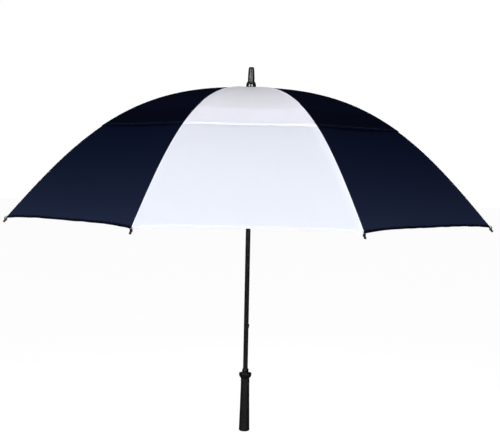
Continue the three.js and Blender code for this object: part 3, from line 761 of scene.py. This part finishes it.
def build_tip(i):
    deg = 22.5 + 45.0 * (i - 1)
    s = np.array(rib_pt(RIM_R)); d = rib_dir(RIM_R)
    prof = [(0, 8.2), (1.9, 8.2), (1.95, 0.6), (2.6, 0.35), (3.2, 0.7), (3.35, 1.6), (3.3, 3.4), (2.95, 5.2), (2.6, 6.6), (2.45, 7.6),
            (2.55, 8.4), (2.9, 9.2), (3.0, 10.0), (2.75, 10.8), (2.0, 11.35), (0.9, 11.5), (0, 11.5)]
    v, f = lathe(prof, 28, closed=True)
    v = v / MM
    ax = np.array([d[0], 0, d[1]]); side = np.array([0, 1, 0.0]); third = np.cross(ax, side)
    if third[2] < 0: third = -third
    c = np.array([s[0], 0, s[1]])
    W = v[:, 2:3] * ax + v[:, 0:1] * side + v[:, 1:2] * third + c
    B = Builder(); B.add(place(W, deg), f, 0)
    # tongue that laps over the fabric's corner, rooted in the cup
    top = np.array([(-4.6, 5.25), (-3.2, 6.15), (0.5, 6.35), (2.6, 5.3), (4.4, 2.4), (4.4, 1.4), (1.2, 2.6), (0.4, 5.05), (-3.4, 5.2)])
    P = np.stack([c[0] + top[:, 0] * ax[0] + top[:, 1] * third[0], c[2] + top[:, 0] * ax[2] + top[:, 1] * third[2]], 1)
    vv, ff = prism(P, -2.2, 2.2, 0.3); B.add(place(vv, deg), ff, 0)
    o = B.make(f"rib_cap_{i}", [TIP], sharp=40)
    fix_normals(o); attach(o, f"rib_outer_{i}"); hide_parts(f"rib_tip_{i}")


for i in range(1, 9):
    build_rib(i)
    build_stretcher(i)
    build_tip(i)


# ------------------------------------------------------------------ turned pieces on the shaft
def turned(name, prof, mat, body, node, n=64, sharp=30, section=None):
    v, f = lathe(prof, n, section=section)
    o = make_object(name, v, f, [mat] if not isinstance(mat, list) else mat, sharp=sharp)
    fix_normals(o)
    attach(o, body)
    if node:
        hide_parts(node)
    return o


def arc_pts(cx, cz, r, a0, a1, n=6):
    return [(cx + r * math.cos(math.radians(a0 + (a1 - a0) * k / n)), cz + r * math.sin(math.radians(a0 + (a1 - a0) * k / n))) for k in range(n + 1)]


def shaft_tube():
    """tube with two slots for the catches: columns of the wall are left out over each slot"""
    r0, r1, z0, z1, n = 5.0, SHAFT_R, 12.4, 975.4, 72
    slots = [(286.3, 301.7), (747.8, 764.7)]
    zs = sorted({z0, z1, *[z for s in slots for z in s], *np.linspace(z0, z1, 60)})
    verts, idx = [], {}
    cols = 2                                                # slot is 2 columns wide, centred on +X
    half = 1.0 / r1
    angs = [-half, 0.0, half] + list(np.linspace(half, 2 * math.pi - half, n)[1:-1])
    na = len(angs)
    for k, z in enumerate(zs):
        for j, a in enumerate(angs):
            for l, r in enumerate((r0, r1)):
                idx[k, j, l] = len(verts)
                verts.append((r * math.cos(a), r * math.sin(a), z))
    faces = []
    inside = lambda k, j: j < cols and any(s[0] - 1e-6 <= zs[k] and zs[k + 1] <= s[1] + 1e-6 for s in slots)
    for k in range(len(zs) - 1):
        for j in range(na):
            jj = (j + 1) % na
            if inside(k, j):
                # cheeks of the slot
                if j == 0: faces.append((idx[k, j, 0], idx[k, j, 1], idx[k + 1, j, 1], idx[k + 1, j, 0]))
                if j == cols - 1: faces.append((idx[k, jj, 0], idx[k + 1, jj, 0], idx[k + 1, jj, 1], idx[k, jj, 1]))
                if not inside(k - 1, j) : faces.append((idx[k, j, 0], idx[k, jj, 0], idx[k, jj, 1], idx[k, j, 1]))
                if not inside(k + 1, j): faces.append((idx[k + 1, j, 0], idx[k + 1, j, 1], idx[k + 1, jj, 1], idx[k + 1, jj, 0]))
                continue
            faces.append((idx[k, j, 1], idx[k, jj, 1], idx[k + 1, jj, 1], idx[k + 1, j, 1]))
            faces.append((idx[k, j, 0], idx[k + 1, j, 0], idx[k + 1, jj, 0], idx[k, jj, 0]))
    for j in range(na):
        jj = (j + 1) % na
        faces.append((idx[0, j, 0], idx[0, jj, 0], idx[0, jj, 1], idx[0, j, 1]))
        K = len(zs) - 1
        faces.append((idx[K, j, 0], idx[K, j, 1], idx[K, jj, 1], idx[K, jj, 0]))
    o = make_object("shaft_tube", np.array(verts) * MM, faces, [SHAFT], sharp=40)
    fix_normals(o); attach(o, "shaft"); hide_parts("shaft")


shaft_tube()

turned("spike", [(0, 944), (4.6, 944), (4.6, 975.9), (8.9, 975.9), (9.25, 976.2), (9.35, 976.9), (9.35, 979), (9.3, 982), (9.15, 988), (8.9, 994),
                 (8.6, 1000), (8.3, 1004.5), (8.0, 1008), (7.75, 1010.8), (7.4, 1013), (6.9, 1014.5), (6.3, 1015.4), (5.4, 1015.9), (4.6, 1016),
                 (0, 1015.7)], SPIKE, "shaft", "ferrule", sharp=35)
turned("crown_bell", [(6.95, 962.4), (10.9, 962.4), (11.6, 961.4), (12.0, 960.6), (12.5, 960.2), (13.2, 960.3), (13.6, 961.0), (13.7, 962.2),
                      (13.7, 964.4), (13.6, 966.4), (13.35, 968.6), (12.9, 970.6), (12.35, 972.3), (11.7, 973.7), (11.0, 974.8), (10.2, 975.5),
                      (9.4, 975.65), (6.95, 975.65)], GLOSS, "shaft", "ferrule_cap", sharp=35)


def slotted(name, z, below, above, core, bore, core_r, extra, mat, body, node):
    """ring cut by eight radial slots and a wire groove; the slots are cut with a boolean"""
    import bmesh
    outer = 13.5
    prof = [(bore, core[0])] + extra + [(core_r, z - below), (outer - 0.5, z - below), (outer, z - below + 0.5), (outer, z + above - 0.5),
            (outer - 0.5, z + above), (PIVOT_R + 0.95, z + above), (PIVOT_R + 0.95, z - 0.95), (PIVOT_R - 0.95, z - 0.95),
            (PIVOT_R - 0.95, z + above), (core_r - 0.3, z + above), (bore + 0.3, core[1]), (bore, core[1] - 0.3)]
    v, f = lathe(prof, 96)
    o = make_object(name, v, f, [mat], sharp=30)
    fix_normals(o)
    # slots by boolean, applied
    boxes = Builder()
    for k in range(8):
        deg = 22.5 + 45 * k
        w = 1.6
        c = np.array([(8.45, -w, z - below - 3), (20, -w, z - below - 3), (20, w, z - below - 3), (8.45, w, z - below - 3),
                      (8.45, -w, z + above + 3), (20, -w, z + above + 3), (20, w, z + above + 3), (8.45, w, z + above + 3)])
        boxes.add(place(c, deg), [(0, 3, 2, 1), (4, 5, 6, 7), (0, 1, 5, 4), (1, 2, 6, 5), (2, 3, 7, 6), (3, 0, 4, 7)])
    cut = boxes.make(name + "_cut", [mat], sharp=None)
    fix_normals(cut)
    return finish_boolean(o, cut, name, body, node)


def finish_boolean(o, cut, name, body, node, sharp=30):
    mod = o.modifiers.new("cut", "BOOLEAN")
    mod.operation, mod.object, mod.solver = "DIFFERENCE", cut, "EXACT"
    dg = bpy.context.evaluated_depsgraph_get()
    me = bpy.data.meshes.new_from_object(o.evaluated_get(dg))
    o.modifiers.clear()
    old = o.data
    o.data = me
    bpy.data.meshes.remove(old)
    bpy.data.objects.remove(cut)
    me.name = name
    me.set_sharp_from_angle(angle=math.radians(sharp))
    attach(o, body)
    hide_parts(node)
    return o


slotted("crown_slotted_ring", CROWN_Z, 4.0, 4.4, (938, CROWN_Z + 4.4), 6.95, 8.4, [(7.9, 938), (8.4, 938.5)], SATIN, "shaft", "crown_notch")


def build_runner():
    z = RUNNER_Z
    bore = 7.1
    prof = [(bore, 765.3), (bore + 0.3, 765), (10.0, 765), (11.0, 765.6), (11.6, 766.8), (11.7, 769), (11.6, 771.5), (11.0, 774), (10.6, 777.5),
            (10.5, 782), (10.5, 790), (10.9, 791), (10.9, 793), (10.5, 794), (10.5, 808), (10.9, 809), (10.9, 811), (10.5, 812), (10.5, 815),
            (11.2, 817.5), (12.3, 819.6), (12.7, 821), (12.6, 822.3), (13.0, 822.74), (13.5, 823.2), (13.5, z + 3.9), (13.0, z + 4.4), (PIVOT_R + 0.95, z + 4.4),
            (PIVOT_R + 0.95, z - 0.95), (PIVOT_R - 0.95, z - 0.95), (PIVOT_R - 0.95, z + 4.4), (bore + 0.3, z + 4.4), (bore, z + 4.1)]
    v, f = lathe(prof, 96)
    o = make_object("runner_sleeve", v, f, [SATIN], sharp=30)
    fix_normals(o)
    boxes = Builder()
    quad = [(0, 3, 2, 1), (4, 5, 6, 7), (0, 1, 5, 4), (1, 2, 6, 5), (2, 3, 7, 6), (3, 0, 4, 7)]
    for k in range(8):
        w = 1.6
        zz = (z - 4.7, z + 8)
        c = np.array([(8.45, -w, zz[0]), (20, -w, zz[0]), (20, w, zz[0]), (8.45, w, zz[0]), (8.45, -w, zz[1]), (20, -w, zz[1]), (20, w, zz[1]), (8.45, w, zz[1])])
        boxes.add(place(c, 22.5 + 45 * k), quad)
    c = np.array([(5.0, -1.1, 760), (8.9, -1.1, 760), (8.9, 1.1, 760), (5.0, 1.1, 760), (5.0, -1.1, 840), (8.9, -1.1, 840), (8.9, 1.1, 840), (5.0, 1.1, 840)])
    boxes.add(place(c, 90), quad)
    cut = boxes.make("runner_cut", [SATIN], sharp=None)
    fix_normals(cut)
    finish_boolean(o, cut, "runner_sleeve", "runner", "runner")


build_runner()

for nm, z, body, node in (("crown_wire", CROWN_Z, "shaft", "crown_ring"), ("runner_wire", RUNNER_Z, "runner", "runner_ring")):
    t = np.linspace(0, 2 * math.pi, 13)
    prof = [(PIVOT_R + 0.55 * math.cos(a), z + 0.55 * math.sin(a)) for a in t[:-1]]
    v, f = lathe(prof, 96)
    B = Builder(); B.add(v, f, 0)
    # twisted ends of the wire, folded down beside the ring between two ribs
    for k, s in ((0, 1), (1, -1)):
        u = np.linspace(0, 1, 14)
        P = np.stack([PIVOT_R + 0.45 * np.cos(u * 14 + k * math.pi) * np.minimum(u * 3, 1), 2.2 + 0.45 * np.sin(u * 14 + k * math.pi) * np.minimum(u * 3, 1) - 2.2 * (1 - u) * s * 0.3, z + 0.6 + 2.6 * u], 1)
        vv, ff = sweep(P, [0.38] * 14, n=8, up=(1, 0, 0)); B.add(place(vv, 0), ff, 0)
    o = B.make(nm, [STEEL], sharp=None)
    fix_normals(o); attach(o, body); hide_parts(node)


def build_catch(name, zc, body, node):
    z0, z1 = zc
    o_ = SHAFT_R + 2.0
    out = [(-1.2, z0 - 5), (0.6, z0 - 5), (2.0, z0 - 1.5), (2.8, z0), (6.2, z0)]
    out += [(6.2 + (o_ - 6.2) * t + 0.25 * math.sin(math.pi * t), z0 + (z1 - 4.5 - z0) * t) for t in np.linspace(0, 1, 9)[1:]]
    out += arc_pts(o_ - 1.3, z1 - 1.3, 1.3, 0, 90, 6)
    out += [(2.2, z1), (1.4, z1 + 1.6), (0.4, z1 + 5), (-1.2, z1 + 5)]
    v, f = prism([(x, z) for x, z in out], -0.7, 0.7, 0.12)
    B = Builder(); B.add(place(v, 90), f, 0)
    o = B.make(name, [DARKSTEEL], sharp=35)
    fix_normals(o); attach(o, body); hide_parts(node)


build_catch("catch_hand", (287, 301), "bottom_catch", "bottom_catch")
build_catch("catch_top", (748.5, 764), "top_catch", "top_catch")


# ------------------------------------------------------------------ handle
def grip_section(a, k, z):
    """rounded eight-sided grip: flats softened, fading to round at the collar and at the very end"""
    t = ((a + math.pi / 8) % (math.pi / 4)) - math.pi / 8
    flat = math.cos(math.pi / 8) / math.cos(t)
    flat = min(flat * 1.045, 1.0)
    w = np.clip((z - 2.0) / 8, 0, 1) * np.clip((146 - z) / 14, 0, 1)
    return 1 + (flat - 1) * w


zs = [4.9, 5.6, 8, 12, 18, 26, 36, 46, 56, 66, 76, 86, 96, 106, 116, 124, 130, 136, 140, 143, 145.5, 147.0]
rad = lambda z: float(np.interp(z, [4, 13, 30, 47, 63, 80, 97, 113, 130, 148], [15.3, 15.15, 14.8, 14.4, 13.95, 13.55, 13.2, 12.9, 12.55, 12.15]))
prof = [(0, 0.5), (4.0, 0.45), (8.6, 0), (11.4, 0.05), (12.6, 0.35), (13.7, 1.0), (14.6, 2.0), (15.1, 3.1), (15.2, 3.8), (14.95, 4.1), (14.95, 4.4), (15.2, 4.6)]
prof += [(rad(z), z) for z in zs] + [(11.9, 147.5), (11.4, 147.8), (6.95, 147.8), (6.95, 12.0), (0, 12.0)]
turned("grip_body", prof, GRIP, "shaft", "handle_grip", n=96, sharp=32, section=grip_section)

prof = [(6.95, 148.3), (11.6, 148.2), (11.95, 148.4), (12.5, 149.3), (13.4, 150.4), (14.5, 151.7), (15.6, 153.2), (16.5, 154.9), (17.1, 156.6), (17.4, 158.4),
        (17.5, 160.2), (17.5, 162.2), (17.3, 163.2), (16.8, 163.85), (16.0, 164.05), (9.9, 164.1), (9.0, 164.4), (8.5, 165.2), (8.5, 166.2), (8.9, 167.4)]
prof += [(8.9, 171.6), (8.5, 172.8), (8.1, 174.2), (7.9, 175.6), (7.6, 176.2), (6.95, 176.2)]
v, f = lathe(prof, 72)
B = Builder(); B.add(v, f, 0)
# locking ring on the neck, set a little askew
t = np.linspace(0, 2 * math.pi, 17)[:-1]
v, f = lathe([(8.35 + 1.05 * math.cos(a), 170.3 + 2.7 * math.sin(a)) for a in t], 56)
v[:, 2] += v[:, 0] * math.tan(math.radians(9.0))
B.add(v, f, 0)
o = B.make("grip_collar", [COLLAR], sharp=35)
fix_normals(o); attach(o, "shaft"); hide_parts("handle_collar")


# ------------------------------------------------------------------ tie strap under the rear panel
def build_strap():
    deg = 180.0
    s = np.linspace(arc(500.0), arc(638.0), 40)
    r = rho_at(s)
    y = np.linspace(-11.5, 11.5, 9)
    SS, YY = np.meshgrid(s, y, indexing="ij")
    R = rho_at(SS)
    X, Z = dome_pt(R, -1.3)
    m = dome_slope(R); L = np.hypot(1, m); nx, nz = -m / L, 1 / L
    half = X * S225
    f = (SS - arc(LO_IN)) / (arc(LO_OUT) - arc(LO_IN))
    bow = 1 - (YY / half) ** 2
    d = -(0.017 * 2 * half * bow * (1 - 0.15 * f) + 1.6 * bow * np.exp(-(SS - arc(LO_IN)) / 50.0)) - 1.3 - 0.5 * np.sin((SS - s[0]) / (s[-1] - s[0]) * math.pi * 3) ** 2
    X = X * C225 + nx * d; Z = Z + nz * d
    edge = (np.abs(YY) > 9.0)
    t = np.where(edge, 0.9, 0.5)
    top = np.stack([X + nx * t / 2, YY, Z + nz * t / 2], -1).reshape(-1, 3)
    bot = np.stack([X - nx * t / 2, YY, Z - nz * t / 2], -1).reshape(-1, 3)
    nr, nc = SS.shape
    idx = np.arange(nr * nc).reshape(nr, nc)
    q = lambda A: np.stack([A[:-1, :-1], A[1:, :-1], A[1:, 1:], A[:-1, 1:]], -1).reshape(-1, 4)
    rim = np.array(list(idx[0, :]) + list(idx[1:, -1]) + list(idx[-1, :-1][::-1]) + list(idx[1:-1, 0][::-1]))
    nxt = np.roll(rim, -1)
    faces = np.concatenate([q(idx), q(idx + nr * nc)[:, ::-1], np.stack([nxt, rim, rim + nr * nc, nxt + nr * nc], -1)])
    uv = np.stack([YY.ravel() * MM, SS.ravel() * MM], -1)
    o = make_object("tie_band", place(np.concatenate([top, bot]), deg), faces, [WHITE], uv=np.concatenate([uv, uv]), sharp=50)
    fix_normals(o)
    et = to_world(0, 1, 0, deg) / MM
    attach(o, "canopy_lower_5"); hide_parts("tie_strap")
    tuple(to_world(100, 0, 900, deg))
    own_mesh(o)
    # press stud near the free end
    k = 6
    c = np.array([X[k, 4], YY[k, 4], Z[k, 4]]); nn = np.array([nx[k, 4], 0, nz[k, 4]])
    tt = np.array([nz[k, 4], 0, -nx[k, 4]]); side = np.array([0, 1, 0.0])
    v, f = lathe([(0, -0.2), (5.2, -0.2), (5.4, 0.2), (5.1, 0.8), (4.0, 1.0), (3.4, 0.7), (2.6, 0.75), (2.2, 1.5), (1.2, 1.9), (0, 1.95)], 32)
    v = v / MM
    W = c - nn * 0.25 + v[:, 0:1] * tt + v[:, 1:2] * side - v[:, 2:3] * nn
    B = Builder(); B.add(place(W, deg), f, 0)
    st = B.make("tie_band_stud", [STEEL], sharp=35); fix_normals(st)
    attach(st, "canopy_lower_5")


build_strap()

# ------------------------------------------------------------------ floor, light, camera
def stage_mat(name, col):
    """pale seamless floor: shows near white to the camera, gives only a weak bounce to the part"""
    m, nt, out = new_mat(name)
    n = N(nt)
    co = n("TexCoord").outputs["Object"]
    g = n("TexNoise", {"Vector": co, "Scale": 3.0, "Detail": 2.0}).outputs[0]
    c = n.mix(g, (col, col, col, 1), (col * 0.985, col * 0.985, col * 0.985, 1))
    p = n("BsdfDiffuse", {"Color": c})
    lp_ = n("LightPath").outputs
    e = n("Emission", {"Color": (1, 1, 1, 1), "Strength": n.math("ADD", n.math("MULTIPLY", lp_["Is Camera Ray"], 0.93), n.math("MULTIPLY", lp_["Is Diffuse Ray"], 0.12))})
    a = n("AddShader", {0: p.outputs[0], 1: e.outputs[0]})
    nt.links.new(a.outputs[0], out.inputs[0])
    return m


fz = -0.35
floor = make_object("studio_floor", [(-30, -30, fz), (30, -30, fz), (30, 30, fz), (-30, 30, fz)], [(0, 1, 2, 3)], [stage_mat("floor_pale", 0.12)])

world = bpy.data.worlds.new("studio")
world.use_nodes = True
wt = world.node_tree
wt.nodes.clear()
wn = N(wt)
lp = wn("LightPath")
sky = wn("SeparateXYZ", {0: wn("TexCoord").outputs["Generated"]}).outputs[2]
up_ = wn.math("MULTIPLY", wn.math("MAXIMUM", sky, 0.0), 0.22)
amb = wn.math("ADD", 0.20, up_)
gloss = lp.outputs["Is Glossy Ray"]
amb = wn.math("MULTIPLY", amb, wn.math("SUBTRACT", 1.0, wn.math("MULTIPLY", gloss, 0.97)))
strength = wn.math("ADD", wn.math("MULTIPLY", lp.outputs["Is Camera Ray"], 1.02), wn.math("MULTIPLY", wn.math("SUBTRACT", 1.0, lp.outputs["Is Camera Ray"]), amb))
bgn = wn("Background", {"Color": (1, 1, 1, 1), "Strength": strength})
wo_ = wt.nodes.new("ShaderNodeOutputWorld")
wt.links.new(bgn.outputs[0], wo_.inputs[0])
bpy.context.scene.world = world


def area(name, loc, target, size, power, color=(1, 1, 1)):
    l = bpy.data.lights.new(name, "AREA")
    l.shape = "RECTANGLE"
    l.size, l.size_y = size
    l.energy = power
    l.color = color
    o = bpy.data.objects.new(name, l)
    o.location = loc
    o.rotation_euler = (Vector(target) - Vector(loc)).to_track_quat("-Z", "Y").to_euler()
    bpy.context.scene.collection.objects.link(o)
    return o


# two tall softboxes on either side of the camera, as the paired highlights on the bell show
area("softbox_left", (-1.45, -1.80, 1.17), (0, 0, 0.80), (0.6, 1.1), 52, (1.0, 1.0, 1.0))
area("softbox_right", (0.95, -2.10, 1.15), (0, 0, 0.80), (0.6, 1.1), 49, (1.0, 1.0, 1.0))
area("overhead", (0.0, -0.3, 3.2), (0, 0, 0.9), (2.4, 2.4), 30, (1.0, 0.985, 1.0))
area("fill_back_left", (-1.7, 2.0, 1.10), (0, 0, 0.80), (0.9, 1.1), 36, (1.0, 1.0, 1.0))
area("fill_back_right", (1.9, 1.7, 1.10), (0, 0, 0.80), (0.9, 1.1), 36, (1.0, 1.0, 1.0))
for fill in ("fill_back_left", "fill_back_right"):
    bpy.data.objects[fill].visible_glossy = False

cam = bpy.data.cameras.new("camera")
cam.sensor_width = 36.0
cam.lens = 73.64
cam.clip_end = 100
co = bpy.data.objects.new("camera", cam)
co.location = (0.0043, -2.845, 0.735)
co.rotation_euler = (Matrix.Rotation(math.radians(90 - 2.64), 3, "X") @ Matrix.Rotation(math.radians(1.17), 3, "Z")).to_euler()
bpy.context.scene.collection.objects.link(co)
bpy.context.scene.camera = co

vs = bpy.context.scene.view_settings
vs.view_transform = "Standard"
vs.look = "None"
